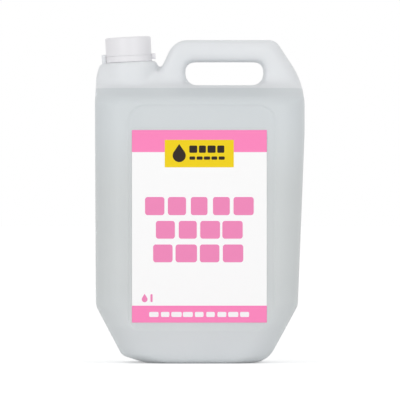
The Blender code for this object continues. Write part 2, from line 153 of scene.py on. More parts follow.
@dataclass(frozen=True)
class Surface:
    """What all finishes share: a gloss, and a relief where there is one, that follow one grain."""

    name: str
    colour: str
    roughness: float
    ior: float
    grain: float                   # the size of its pattern
    relief: float = 0.0            # how high the pattern stands
    relief_strength: float = 0.5
    octaves: float = 4.0
    octave_share: float = 0.6
    gloss_spread: float = 0.06
    specular: float = 0.5
    see_through: float = 0.0

    def colouring(self, tree: Tree, place: bpy.types.NodeSocket, grain: Node) -> Any:
        """Give the colour, or the node that makes it: here it is the same all over."""
        return linear(self.colour)

    def build(self) -> Material:
        """Build the material.

        Returns:
            The material.
        """
        material, tree = new_material(self.name)
        place = add_node(tree, "ShaderNodeTexCoord").outputs["Object"]
        grain = add_node(tree, "ShaderNodeTexNoise", {
            "Vector": place, "Scale": 1.0 / self.grain, "Detail": self.octaves,
            "Roughness": self.octave_share})
        gloss = add_node(tree, "ShaderNodeMapRange", {
            "Value": grain, "To Min": self.roughness - self.gloss_spread,
            "To Max": self.roughness + self.gloss_spread})
        sockets: dict[str, Any] = {
            "Base Color": self.colouring(tree, place, grain), "Roughness": gloss, "IOR": self.ior,
            "Specular IOR Level": self.specular, "Transmission Weight": self.see_through}
        if self.relief:
            sockets["Normal"] = add_node(tree, "ShaderNodeBump", {
                "Height": grain, "Strength": self.relief_strength, "Distance": self.relief})
        shader = add_node(tree, "ShaderNodeBsdfPrincipled", sockets)
        add_node(tree, "ShaderNodeOutputMaterial", {"Surface": shader})
        return material


@dataclass(frozen=True)
class MilkyPolyethylene(Surface):
    """Natural high-density polyethylene, blow-moulded: milky, half see-through, with a waxy satin skin.

    The soap behind the wall wets it and greys it, so the wall is a shade darker below the fill level. Below
    the level the colour is also darkest at mid-height and lighter towards the top. Towards the foot the wall
    is painted lighter again: painted light that lifts the shade near the floor.
    """

    name: str = "blow_moulded_polyethylene"
    colour: str = "#F9FBFD"        # dry, above the soap
    roughness: float = 0.42
    ior: float = 1.54
    grain: float = 1.4 * MM        # the mould's blasted texture
    relief: float = 0.02 * MM
    relief_strength: float = 0.6
    octaves: float = 3.0
    octave_share: float = 0.5
    gloss_spread: float = 0.05
    specular: float = 0.35
    see_through: float = 0.16
    wet: str = "#E6EBED"
    middle: str = "#E0E4E4"
    # painted light: the wall's colour near the floor, lighter to lift the shade there
    foot: str = "#EDF1F3"
    foot_height: float = 75.0 * MM     # up to this height the wall is painted lighter, painted light near the floor
    middle_height: float = 150.0 * MM
    upper_height: float = 225.0 * MM   # above this, up to the soap's level, the wall has its lightest wet colour
    level: float = field(kw_only=True)     # of the soap behind the wall
    level_blur: float = 0.5 * MM
    patch_tint: str = "#F7F8F9"    # where the parison was drawn thinner
    patch: float = 70.0 * MM
    patch_octaves: float = 2.0
    patch_octave_share: float = 0.4

    def colouring(self, tree: Tree, place: bpy.types.NodeSocket, grain: Node) -> Any:
        """Change the colour from height to height, with painted light lifting the foot, and vary it a little
        in wide patches.

        Args:
            tree: The material's tree.
            place: The place on the object.
            grain: The noise of the mould's texture, which leaves the colour alone.

        Returns:
            The node that gives the colour.
        """
        height = add_node(tree, "ShaderNodeSeparateXYZ", {"Vector": place}).outputs["Z"]
        # starts from the painted-light colour of the foot, lighter to lift the shade near the floor
        wall: Any = linear(self.foot)
        below, above = self.level - self.level_blur, self.level + self.level_blur
        for low, high, tone, course in ((0.0, self.foot_height, self.middle, "SMOOTHSTEP"),
                                        (self.middle_height, self.upper_height, self.wet, "SMOOTHSTEP"),
                                        (below, above, self.colour, "LINEAR")):
            share = add_node(tree, "ShaderNodeMapRange", {"Value": height, "From Min": low, "From Max": high},
                             interpolation_type=course)
            wall = add_node(tree, "ShaderNodeMix", {MIX_SHARE: share, MIX_FROM: wall, MIX_TO: linear(tone)},
                            data_type="RGBA")
        patches = add_node(tree, "ShaderNodeTexNoise", {
            "Vector": place, "Scale": 1.0 / self.patch, "Detail": self.patch_octaves,
            "Roughness": self.patch_octave_share})
        tint = add_node(tree, "ShaderNodeMix", {
            MIX_SHARE: patches, MIX_FROM: linear(WHITE), MIX_TO: linear(self.patch_tint)}, data_type="RGBA")
        return add_node(tree, "ShaderNodeMix", {MIX_SHARE: 1.0, MIX_FROM: wall, MIX_TO: tint},
                        data_type="RGBA", blend_type="MULTIPLY")


@dataclass(frozen=True)
class SatinSurface(Surface):
    """An opaque plastic or ink: a soft sheen over a fine grain, with a faint unevenness in its colour."""

    shade: float = 0.97            # how dark the darkest patch is, as a share of the colour

    def colouring(self, tree: Tree, place: bpy.types.NodeSocket, grain: Node) -> Any:
        """Let the colour follow the grain.

        Args:
            tree: The material's tree.
            place: The place on the object.
            grain: The noise that the colour follows.

        Returns:
            The node that gives the colour.
        """
        red, green, blue, alpha = linear(self.colour)
        dark = (red * self.shade, green * self.shade, blue * self.shade, alpha)
        return add_node(tree, "ShaderNodeMix", {
            MIX_SHARE: grain, MIX_FROM: dark, MIX_TO: linear(self.colour)}, data_type="RGBA")


class Finishes:
    """Every finish of the can, built once."""

    def __init__(self, level: float) -> None:
        """Build the materials.

        Args:
            level: The height of the soap in the can.
        """
        self.wall = MilkyPolyethylene(level=level).build()
        # Clear liquid soap with a faint cloud in it, which looks grey through the milky wall
        self.soap = Surface("liquid_hand_soap", "#E9EEF0", 0.12, 1.36, 40.0 * MM, octaves=1.0,
                            octave_share=0.5, gloss_spread=0.036, see_through=0.85).build()
        # Injection-moulded polypropylene: white, with the faint sheen that a polished mould leaves
        self.closure = SatinSurface("moulded_white_polypropylene", "#ECEBEE", 0.36, 1.49, 0.5 * MM,
                                    0.01 * MM).build()
        # Foamed polyethylene sheet, punched to a wad: soft and matt, with fine cells
        self.foam = SatinSurface("polyethylene_foam", "#F2F2EF", 0.75, 1.45, 0.6 * MM, 0.06 * MM).build()
        # Cast polypropylene film: white and even, with a slight orange peel from the adhesive under it
        self.film = SatinSurface("polypropylene_label_film", "#FDFDFD", 0.24, 1.49, 9.0 * MM, 0.05 * MM,
                                 shade=1.0).build()
        # Flexographic inks on the film: flat, strong colours under a thin satin varnish
        colours = {"pink": "#FF88C0", "rose": "#F28ABC", "yellow": "#F3D400", "brown": "#241506",
                   "white": "#FBF7FA"}
        self.inks = {name: SatinSurface(f"{name}_label_ink", colour, 0.30, 1.49, 9.0 * MM, 0.05 * MM,
                                        specular=0.3, shade=0.99).build() for name, colour in colours.items()}


def linked(name: str, mesh: bpy.types.Mesh) -> Piece:
    """Put a mesh into the scene as an object at the origin.

    Args:
        name: The object's name.
        mesh: Its mesh.

    Returns:
        The object.
    """
    made = bpy.data.objects.new(name, mesh)
    bpy.context.scene.collection.objects.link(made)
    return made


def object_from(name: str, form: bmesh.types.BMesh) -> Piece:
    """Turn a bmesh into an object in the scene, with welded points and outward faces.

    Args:
        name: The object's name.
        form: The finished bmesh, which is freed.

    Returns:
        The new object.
    """
    bmesh.ops.remove_doubles(form, verts=form.verts, dist=WELD)
    bmesh.ops.recalc_face_normals(form, faces=form.faces)
    mesh = bpy.data.meshes.new(name)
    form.to_mesh(mesh)
    form.free()
    return linked(name, mesh)


def discard(*unwanted: Piece) -> None:
    """Remove helper objects."""
    for helper in unwanted:
        bpy.data.objects.remove(helper, do_unlink=True)


def baked(source: Piece) -> Piece:
    """Make a plain mesh object of what an object's modifiers give, and remove the object.

    Args:
        source: The object with its modifiers.

    Returns:
        The plain object, with the same name.
    """
    name = source.name
    graph = bpy.context.evaluated_depsgraph_get()
    mesh = bpy.data.meshes.new_from_object(source.evaluated_get(graph))
    mesh.transform(source.matrix_world)
    discard(source)
    mesh.name = name
    return linked(name, mesh)


def combined(target: Piece, others: Solids) -> Piece:
    """Cut, join or intersect closed solids with a target, one after another.

    Args:
        target: The solid that is worked on.
        others: Pairs of an operation and the solid that does it, which is removed afterwards.

    Returns:
        The result as a plain object.
    """
    used = []
    for operation, other in others:
        step = target.modifiers.new(operation, "BOOLEAN")
        step.operation = operation
        step.solver = "MANIFOLD"
        step.object = other
        used.append(other)
    made = baked(target)
    discard(*used)
    return made


def softened(piece: Piece, width: float) -> Piece:
    """Round a piece's edges.

    Args:
        piece: The piece.
        width: How wide the rounding is.

    Returns:
        The rounded piece as a plain object.
    """
    edge = piece.modifiers.new("soft_edges", "BEVEL")
    edge.width = width
    edge.segments = BEVEL_STEPS
    edge.limit_method = "ANGLE"
    return baked(piece)


def finished(piece: Piece, material: Material, body: Body,
             crease: float = 35.0) -> None:
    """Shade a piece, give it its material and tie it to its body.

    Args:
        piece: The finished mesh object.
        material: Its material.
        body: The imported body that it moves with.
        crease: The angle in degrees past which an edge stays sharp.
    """
    piece.data.materials.clear()
    piece.data.materials.append(material)
    piece.data.shade_smooth()
    piece.data.set_sharp_from_angle(angle=math.radians(crease))
    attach(piece, body.value)
    LOG.info("%s: %d faces, rides on %s", piece.name, len(piece.data.polygons), body.value)


def rounded_path(corners: Sequence[tuple[float, float, float]], steps: int, closed: bool = False) -> Path:
    """Lay a path through corners, with an arc at each corner whose radius isn't zero.

    Args:
        corners: Points as (u, v, radius).
        steps: The number of steps in each arc.
        closed: Whether the path joins its own start.

    Returns:
        The path's points.
    """
    points: Path = []
    count = len(corners)
    for index, (u, v, radius) in enumerate(corners):
        here = Vector((u, v))
        if radius == 0.0 or not (closed or 0 < index < count - 1):
            points.append(here)
            continue
        before = (Vector(corners[index - 1][:2]) - here).normalized()
        after = (Vector(corners[(index + 1) % count][:2]) - here).normalized()
        half_angle = before.angle(after) / 2.0
        centre = here + (before + after).normalized() * (radius / math.sin(half_angle))
        reach = radius / math.tan(half_angle)
        first = here + before * reach - centre
        turn = first.angle_signed(here + after * reach - centre)
        points += [centre + Matrix.Rotation(-turn * step / steps, 2) @ first for step in range(steps + 1)]
    return points


def shifted(points: Path, distance: float, closed: bool = False) -> Path:
    """Move a path sideways, to its left, with mitred corners.

    Args:
        points: The path.
        distance: How far it moves.
        closed: Whether the path joins its own start.

    Returns:
        The moved path.
    """
    moved: Path = []
    count = len(points)
    for index, here in enumerate(points):
        normals = []
        for a, b in ((index - 1, index), (index, index + 1)):
            if closed or (a >= 0 and b < count):
                along = points[b % count] - points[a % count]
                normals.append(Vector((-along.y, along.x)).normalized())
        mean = sum(normals, Vector((0.0, 0.0)))
        scale = 1.0 if len(normals) == 1 else 2.0 / mean.length_squared
        moved.append(here + mean * (distance * scale))
    return moved


def reach_at(path: Path, height: float) -> float:
    """Find how far out an upright path lies at a height.

    Args:
        path: The path, from its lowest point up.
        height: The height asked for.

    Returns:
        The path's distance from the middle there.
    """
    for low, high in zip(path, path[1:]):
        if low.y <= height <= high.y and high.y > low.y:
            return low.x + (high.x - low.x) * (height - low.y) / (high.y - low.y)
    return path[0].x if height < path[0].y else path[-1].x


def rounded_ring(left: float, right: float, low: float, high: float, radius: float, steps: int,
                 low_radius: Optional[float] = None) -> Ring:
    """Lay a rounded rectangle, anticlockwise.

    Args:
        left: Its left side.
        right: Its right side.
        low: Its lower side.
        high: Its upper side.
        radius: The radius of its corners.
        steps: The number of steps in each corner.
        low_radius: The radius of its lower corners, where it differs.

    Returns:
        Its points as (u, v).
    """
    widest = min(right - left, high - low) / 2.0 - LEAST_FLAT
    ring: Ring = []
    for u, v, start in ((right, high, 0.0), (left, high, 90.0), (left, low, 180.0), (right, low, 270.0)):
        used = min(radius if v == high or low_radius is None else low_radius, widest)
        centre_u = u - used if u == right else u + used
        centre_v = v - used if v == high else v + used
        for step in range(steps + 1):
            angle = math.radians(start + 90.0 * step / steps)
            ring.append((centre_u + used * math.cos(angle), centre_v + used * math.sin(angle)))
    return ring


def loft(name: str, rings: Sequence[Sequence[Sequence[float]]]) -> Piece:
    """Skin a closed solid over rings of equally many points.

    Args:
        name: The object's name.
        rings: The rings, from one end to the other.

    Returns:
        The solid.
    """
    form = bmesh.new()
    rows = [[form.verts.new(point) for point in ring] for ring in rings]
    for low, high in zip(rows, rows[1:]):
        for index, corner in enumerate(low):
            after = (index + 1) % len(low)
            form.faces.new((corner, low[after], high[after], high[index]))
    form.faces.new(rows[0])
    form.faces.new(rows[-1])
    return object_from(name, form)


def turned(name: str, profile: Sequence[tuple[float, float]], steps: int, place: Matrix) -> Piece:
    """Turn a profile about an axis into a closed solid.

    Args:
        name: The object's name.
        profile: Points as (radius, height), top to bottom on the outer side.
        steps: The number of steps in a turn.
        place: Where the axis stands.

    Returns:
        The solid.
    """
    form = bmesh.new()
    row = [form.verts.new((radius, 0.0, height)) for radius, height in profile]
    edges = [form.edges.new(pair) for pair in zip(row, row[1:])]
    if profile[0][0] > 0.0:
        edges.append(form.edges.new((row[-1], row[0])))
    bmesh.ops.spin(form, geom=row + edges, axis=(0.0, 0.0, 1.0), cent=(0.0, 0.0, 0.0), steps=steps,
                   angle=2.0 * math.pi, use_merge=True)
    bmesh.ops.transform(form, matrix=place, verts=form.verts)
    return object_from(name, form)


def block(name: str, low: Sequence[float], high: Sequence[float], place: Matrix) -> Piece:
    """Make a box.

    Args:
        name: The object's name.
        low: Its lowest corner.
        high: Its highest corner.
        place: The frame that the corners are given in.

    Returns:
        The box.
    """
    form = bmesh.new()
    bmesh.ops.create_cube(form, size=1.0)
    bmesh.ops.scale(form, vec=Vector(high) - Vector(low), verts=form.verts)
    bmesh.ops.translate(form, vec=(Vector(low) + Vector(high)) / 2.0, verts=form.verts)
    bmesh.ops.transform(form, matrix=place, verts=form.verts)
    return object_from(name, form)


def arc_profile(radius: float, height: float, rounding: float, steps: int) -> Ring:
    """Lay the rounded edge between a face and the side below it, from the top down.

    Args:
        radius: The side's distance from the axis.
        height: The face's height.
        rounding: The arc's radius.
        steps: The number of steps in the arc.

    Returns:
        Its points as (radius, height).
    """
    angles = [math.radians(90.0 * step / steps) for step in range(steps + 1)]
    return [(radius - rounding * (1.0 - math.sin(angle)), height - rounding * (1.0 - math.cos(angle)))
            for angle in angles]


def new_tree(name: str, **inputs: Sequence[str]) -> tuple[Tree, Any]:
    """Start a Geometry Nodes tree with named inputs, the last of them its material.

    Args:
        name: The tree's name.
        **inputs: The inputs' names under each kind of socket.

    Returns:
        The tree and the sockets that give its inputs.
    """
    tree = bpy.data.node_groups.new(name, "GeometryNodeTree")
    tree.interface.new_socket("Geometry", in_out="OUTPUT", socket_type="NodeSocketGeometry")
    for kind, labels in {**inputs, "Material": ("Material",)}.items():
        for label in labels:
            tree.interface.new_socket(label, in_out="INPUT", socket_type=f"NodeSocket{kind}")
    return tree, add_node(tree, "NodeGroupInput").outputs


def close_tree(tree: Tree, shape: Node, given: Any) -> None:
    """End a Geometry Nodes tree in Realize Instances and Set Material.

    Args:
        tree: The tree.
        shape: The node that gives its geometry.
        given: The sockets that give its inputs.
    """
    real = add_node(tree, "GeometryNodeRealizeInstances", {"Geometry": shape})
    dressed = add_node(tree, "GeometryNodeSetMaterial", {"Geometry": real, "Material": given["Material"]})
    add_node(tree, "NodeGroupOutput", {"Geometry": dressed})


def grown(name: str, tree: Tree, material: Material, values: dict[str, Any],
          place: Optional[Matrix] = None, guide: Optional[bpy.types.Mesh] = None) -> Piece:
    """Run a Geometry Nodes tree and keep what it makes as a plain mesh.

    Args:
        name: The object's name.
        tree: The tree.
        material: The material that it sets.
        values: The values of its other named inputs.
        place: The frame that the tree works in, where it isn't the can's own.
        guide: The mesh that the tree follows, if it follows one.

    Returns:
        The plain object.
    """
    made = linked(name, guide or bpy.data.meshes.new(name))
    made.matrix_world = place or Matrix.Identity(4)
    step = made.modifiers.new(tree.name, "NODES")
    step.node_group = tree
    values = {**values, "Material": material}
    for item in tree.interface.items_tree:
        if item.in_out == "INPUT" and item.name in values:
            step[item.identifier] = values[item.name]
    bpy.context.view_layer.update()
    return baked(made)


@dataclass
class CanForm:
    """The outside of the blow moulding, and the same form any distance further in.

    It is seen from the front for its left and right walls, and from the side for its broad faces.
    """

    left_side: float               # the neck's side, from the middle
    right_side: float              # the handle's side, from the middle
    half_depth: float
    neck: Matrix                   # the neck's axis, from the face of its boss up
    handle_top: float = 0.2924
    left_foot: float = 0.0705
    left_foot_height: float = 0.0070
    left_base_edge: float = 0.0490
    right_foot: float = 0.0606
    chamfer_height: float = 0.0520
    left_taper: float = 0.0008
    right_taper: float = 0.0061
    taper_top: float = 0.2080
    neck_shoulder_start: float = 0.2360
    handle_lean_start: float = 0.2530
    handle_top_end: float = 0.0688
    lean_radius: float = 0.0660
    grip_end_radius: float = 0.0093
    foot_radius: float = 0.0230
    left_foot_radius: float = foot_radius / 4.0
    chamfer_radius: float = foot_radius / 3.0
    shoulder_height: float = 0.2385
    shoulder_radius: float = 0.0100
    ridge_height: float = 0.2545
    ridge_radius: float = 0.0100
    handle_half_depth: float = 0.0165
    handle_edge_radius: float = 0.0090
    base_half_depth: float = 0.0520
    base_radius: float = 0.0080
    face_chamfer_height: float = 0.0330
    corner_radius: float = 0.0270
    slot_left: float = -0.0126
    slot_right: float = 0.0572
    slot_bottom: float = 0.2513
    grip_height: float = 0.0205
    slot_top_radius: float = 0.0070
    slot_bottom_radius: float = 0.0095
    slot_melt: float = 0.0008      # how far the melted skin closes the slot in
    rim_radius: float = 0.0068     # the melting makes it the solid's 0.0085
    lean_foot_in: float = 0.0008
    lean_foot_drop: float = 0.0080
    lean_top_in: float = 0.0065
    lean_top_rise: float = 0.0060
    notch_floor: float = 0.2678
    notch_melt: float = 0.0034     # how far the melted skin rises over the notch's floor
    notch_above: float = 0.0003    # how far over the grip the notch's cutter turns level
    notch_corner: float = -0.0360
    shelf: float = 0.2705          # the floor's height on the boss's outer side
    shelf_step: float = 0.0050     # how far sideways the step to it runs, hidden inside the boss
    notch_top: float = -0.0227
    notch_corner_radius: float = 0.0040
    handle_start_radius: float = 0.0190
    boss_radius: float = 0.0250
    boss_rounding: float = 0.0022
    boss_drop: float = 0.0330
    boss_steps: int = 96
    push_up_half_width: float = 0.0350
    push_up_half_depth: float = 0.0280
    push_up_radius: float = 0.0160
    push_up_rise: float = 0.0030
    push_up_slope: float = 0.0080
    arc_steps: int = 12
    corner_steps: int = 14
    rim_steps: int = 8
    closest_levels: float = 0.0003
    melt_passes: int = 5           # they melt the joins together as blown plastic does
    melt_share: float = 0.5

    def wall(self, corners: list[tuple[float, float, float]], inset: float) -> Path:
        """Lay an upright wall's path from base to top, moved inwards, without its runs to the middle."""
        whole = [(0.0, 0.0, 0.0), *corners, (0.0, self.handle_top, 0.0)]
        return shifted(rounded_path(whole, self.arc_steps), inset)[1:-1]

    def left_wall(self, inset: float) -> Path:
        """Lay the wall under the neck."""
        return self.wall([
            (self.left_base_edge, 0.0, self.foot_radius),
            (self.left_foot, self.left_foot_height, self.left_foot_radius),
            (self.left_side - self.left_taper, self.chamfer_height, self.chamfer_radius),
            (self.left_side, self.neck_shoulder_start, 0.0),
            (self.left_side - self.lean_foot_in, self.notch_floor - self.lean_foot_drop, 0.0),
            (self.left_side - self.lean_top_in, self.neck.translation.z + self.lean_top_rise, 0.0),
            (self.left_side - self.lean_top_in, self.handle_top, 0.0),
        ], inset)

    def right_wall(self, inset: float) -> Path:
        """Lay the wall under the handle's far end."""
        return self.wall([
            (self.right_foot, 0.0, self.foot_radius),
            (self.right_side - self.right_taper, self.chamfer_height, self.chamfer_radius),
            (self.right_side, self.taper_top, 0.0),
            (self.right_side, self.handle_lean_start, self.lean_radius),
            (self.handle_top_end, self.handle_top, self.grip_end_radius),
        ], inset)

    def face_wall(self, inset: float) -> Path:
        """Lay a broad face, with the shoulder and the grip's side above it."""
        return self.wall([
            (self.base_half_depth, 0.0, self.base_radius),
            (self.half_depth, self.face_chamfer_height, self.shoulder_radius),
            (self.half_depth, self.shoulder_height, self.shoulder_radius),
            (self.handle_half_depth, self.ridge_height, self.ridge_radius),
            (self.handle_half_depth, self.handle_top, self.handle_edge_radius),
        ], inset)

    def blank(self, name: str, inset: float) -> Piece:
        """Loft the can without its neck, slot and notch.

        Args:
            name: The object's name.
            inset: How far inwards its surface lies.

        Returns:
            The closed solid.
        """
        left, right, face = self.left_wall(inset), self.right_wall(inset), self.face_wall(inset)
        levels: list[float] = []
        for height in sorted(point.y for point in left + right + face):
            if not levels or height - levels[-1] > self.closest_levels:
                levels.append(height)
        levels[-1] = self.handle_top - inset
        rings = []
        for height in levels:
            depth = reach_at(face, height)
            ring = rounded_ring(-reach_at(left, height), reach_at(right, height), -depth, depth,
                                self.corner_radius - inset, self.corner_steps)
            rings.append([(x, y, height) for x, y in ring])
        return loft(name, rings)

    def rim_stations(self) -> list[tuple[float, float]]:
        """List the stations of a cutter that rounds the rims where it leaves the handle.

        Returns:
            Their depths, each with how much wider the cutter is there.
        """
        stations = [(self.handle_half_depth + BEYOND, self.rim_radius)]
        for step in range(self.rim_steps + 1):
            angle = math.radians(90.0 * step / self.rim_steps)
            stations.append((self.handle_half_depth - self.rim_radius * (1.0 - math.cos(angle)),
                             self.rim_radius * (1.0 - math.sin(angle))))
        return stations + [(-depth, widening) for depth, widening in reversed(stations)]

    def slot(self, inset: float) -> Piece:
        """Make the finger slot's cutter, wider towards both faces so that the grip comes out round.

        Args:
            inset: How far inwards the surface lies.

        Returns:
            The closed solid.
        """
        rings = []
        for depth, widening in self.rim_stations():
            grow = widening + inset + self.slot_melt
            ring = rounded_ring(self.slot_left - grow, self.slot_right + grow, self.slot_bottom - inset,
                                self.handle_top - self.grip_height + grow, self.slot_top_radius + grow,
                                self.corner_steps, self.slot_bottom_radius + grow)
            rings.append([(x, depth, z) for x, z in ring])
        return loft("slot_cutter", rings)

    def notch(self, inset: float) -> Piece:
        """Make the cutter of all that lies above the ridge on the neck's side of the handle.

        Args:
            inset: How far inwards the surface lies.

        Returns:
            The closed solid.
        """
        above = self.handle_top + BEYOND
        outside = -self.left_side - BEYOND
        clear = self.handle_top + self.notch_above
        floor = self.notch_floor - self.notch_melt
        level_from = self.notch_top + self.handle_start_radius
        outline = rounded_path([
            (outside, self.shelf, 0.0),
            (self.neck.translation.x - self.shelf_step, self.shelf, 0.0),
            (self.neck.translation.x, floor, 0.0),
            (self.notch_corner, floor, self.notch_corner_radius),
            (self.notch_top, clear, self.handle_start_radius),
            (level_from, clear, 0.0),
            (level_from, above, 0.0),
            (outside, above, 0.0),
        ], self.arc_steps, closed=True)
        rings = [[(point.x, depth, point.y) for point in shifted(outline, -widening - inset, closed=True)]
                 for depth, widening in self.rim_stations()]
        return loft("notch_cutter", rings)

    def boss(self, inset: float) -> Piece:
        """Turn the boss that the neck stands on.

        Args:
            inset: How far inwards the surface lies.

        Returns:
            The closed solid.
        """
        radius = self.boss_radius - inset
        foot = -self.boss_drop + inset
        edge = arc_profile(radius, -inset, self.boss_rounding - inset / 2.0, self.arc_steps)
        return turned("boss", [(0.0, -inset), *edge, (radius, foot), (0.0, foot)], self.boss_steps, self.neck)

    def push_up(self, inset: float) -> Piece:
        """Make the cutter of the raised middle of the base, which leaves a flat rim to stand on.

        Args:
            inset: How far inwards the surface lies.

        Returns:
            The closed solid.
        """
        rings = []
        for height, shrink in ((-BEYOND, 0.0), (0.0, 0.0), (self.push_up_rise + inset, self.push_up_slope)):
            wide = self.push_up_half_width + inset - shrink
            deep = self.push_up_half_depth + inset - shrink
            radius = self.push_up_radius + inset - shrink
            ring = rounded_ring(-wide, wide, -deep, deep, radius, self.corner_steps)
            rings.append([(x, y, height) for x, y in ring])
        return loft("push_up_cutter", rings)

    def blown(self, name: str, inset: float, voxel: float) -> Piece:
        """Make the whole form and melt its joins together.

        Args:
            name: The object's name.
            inset: How far inwards its surface lies.
            voxel: The size of the faces of its skin.

        Returns:
            The closed solid, without its label panels.
        """
        form = combined(self.blank(name, inset), [
            ("DIFFERENCE", self.notch(inset)),
            ("UNION", self.boss(inset)),
            ("DIFFERENCE", self.slot(inset)),
            ("DIFFERENCE", self.push_up(inset)),
        ])
        skin = form.modifiers.new("skin", "REMESH")
        skin.mode = "VOXEL"
        skin.voxel_size = voxel
        melt = form.modifiers.new("melt", "SMOOTH")
        melt.factor = self.melt_share
        melt.iterations = self.melt_passes
        return baked(form)


@dataclass
class Panel:
    """The shallow recess that keeps a label off the shelf's edge, one in each broad face."""

    half_depth: float              # how far the broad face lies from the middle
    left: float = -0.0625
    right: float = 0.0660
    bottom: float = 0.0270
    top: float = 0.2315
    radius: float = 0.0140
    depth: float = 0.0011
    rim: float = 0.0030            # how wide the soft step round it is
    overrun: float = 1.04          # how much higher than the broad face the step's curve ends, as a share
    flare: float = 0.0050          # how much wider the cutter gets beyond the face
    steps: int = 8
    corner_steps: int = 14

    def cutter(self, inset: float, side: float) -> Piece:
        """Make the recess's cutter, whose walls are an S so that both edges come out soft.

        Args:
            inset: How far inwards the surface lies.
            side: -1 for the front and 1 for the back.

        Returns:
            The closed solid.
        """
        floor = self.half_depth - self.depth - inset
        stations = []
        for step in range(self.steps + 1):
            share = step / self.steps
            rise = self.depth * self.overrun * share * share * (3.0 - 2.0 * share)
            stations.append((floor + rise, self.rim * share))
        stations.append((self.half_depth + BEYOND, self.rim + self.flare))
        rings = []
        for depth, widening in stations:
            grow = widening + inset
            ring = rounded_ring(self.left - grow, self.right + grow, self.bottom - grow, self.top + grow,
                                self.radius + grow, self.corner_steps)
            rings.append([(x, side * depth, z) for x, z in ring])
        return loft("panel_cutter", rings)

    def cuts(self, inset: float) -> list[tuple[str, Piece]]:
        """List the cuts in the front and the back."""
        return [("DIFFERENCE", self.cutter(inset, side)) for side in (-1.0, 1.0)]


@dataclass
class Neck:
    """The threaded neck, on its own leaning axis from the face of its boss upwards."""

    place: Matrix
    bore_radius: float = 0.0155
    radius: float = 0.0172
    height: float = 0.0188
    lip_rounding: float = 0.0004
    lip_steps: int = 4
    bead_radius: float = 0.0186
    bead_start: float = 0.0030
    bead_height: float = 0.0020
    lug_width: float = 0.0060
    lug_height: float = 0.0078
    lug_outer: float = 0.0246
    lug_inner: float = 0.0209
    lug_rounding: float = 0.0003
    root: float = 0.0060           # how far the neck and its lug reach down into the boss
    bore_drop: float = 0.0165
    pitch: float = 0.0050
    thread_depth: float = 0.0013
    thread_foot: float = 0.0020
    thread_crest: float = 0.0009
    thread_start: float = 0.0085
    thread_turns: float = 1.75
    sink: float = 0.0005           # how far a thread's foot runs into the wall that carries it
    run_out: float = 1.0 / 12.0    # how much of a turn a thread takes to run out
    thread_end: float = 0.25       # what is left of its section there, as a share
    steps: int = 96

    def outside(self) -> Piece:
        """Turn the neck's outside with its bead and rounded lip."""
        return turned("neck_outside", [
            (0.0, self.height),
            *arc_profile(self.radius, self.height, self.lip_rounding, self.lip_steps),
            (self.radius, self.bead_start + self.bead_height),
            (self.bead_radius, self.bead_start + self.bead_height / 2.0),
            (self.bead_radius, self.bead_start),
            (self.radius, self.bead_start),
            (self.radius, -self.root),
            (0.0, -self.root),
        ], self.steps, self.place)

    def lug(self) -> Piece:
        """Make the lug beside the tamper ring."""
        return softened(block("neck_lug", (-self.lug_outer, -self.lug_width / 2.0, -self.root),
                              (-self.lug_inner, self.lug_width / 2.0, self.lug_height), self.place),
                        self.lug_rounding)

    def bore(self) -> Piece:
        """Turn the cutter of the neck's bore."""
        radius, top, foot = self.bore_radius, self.height + BEYOND, -self.bore_drop
        return turned("neck_bore", [(0.0, top), (radius, top), (radius, foot), (0.0, foot)], self.steps,
                      self.place)

    def thread(self, name: str, threads: Tree, material: Material, radius: float,
               start: float, turns: float, side: float) -> Piece:
        """Grow a thread of the neck's section and pitch, for the neck or for the cap.

        Args:
            name: The object's name.
            threads: The tree that winds threads.
            material: Its material.
            radius: The radius of the wall that carries it.
            start: How far above the boss it starts.
            turns: How many turns it has.
            side: 1 where it stands outwards and -1 where it stands inwards.

        Returns:
            The closed solid.
        """
        return grown(name, threads, material, {
            "Radius": radius - side * self.sink, "Start": start, "Pitch": self.pitch, "Turns": turns,
            "Rise": self.thread_depth + self.sink, "Foot": self.thread_foot, "Crest": self.thread_crest,
            "Side": side, "Steps": self.steps, "Run Out": self.run_out, "End": self.thread_end}, self.place)


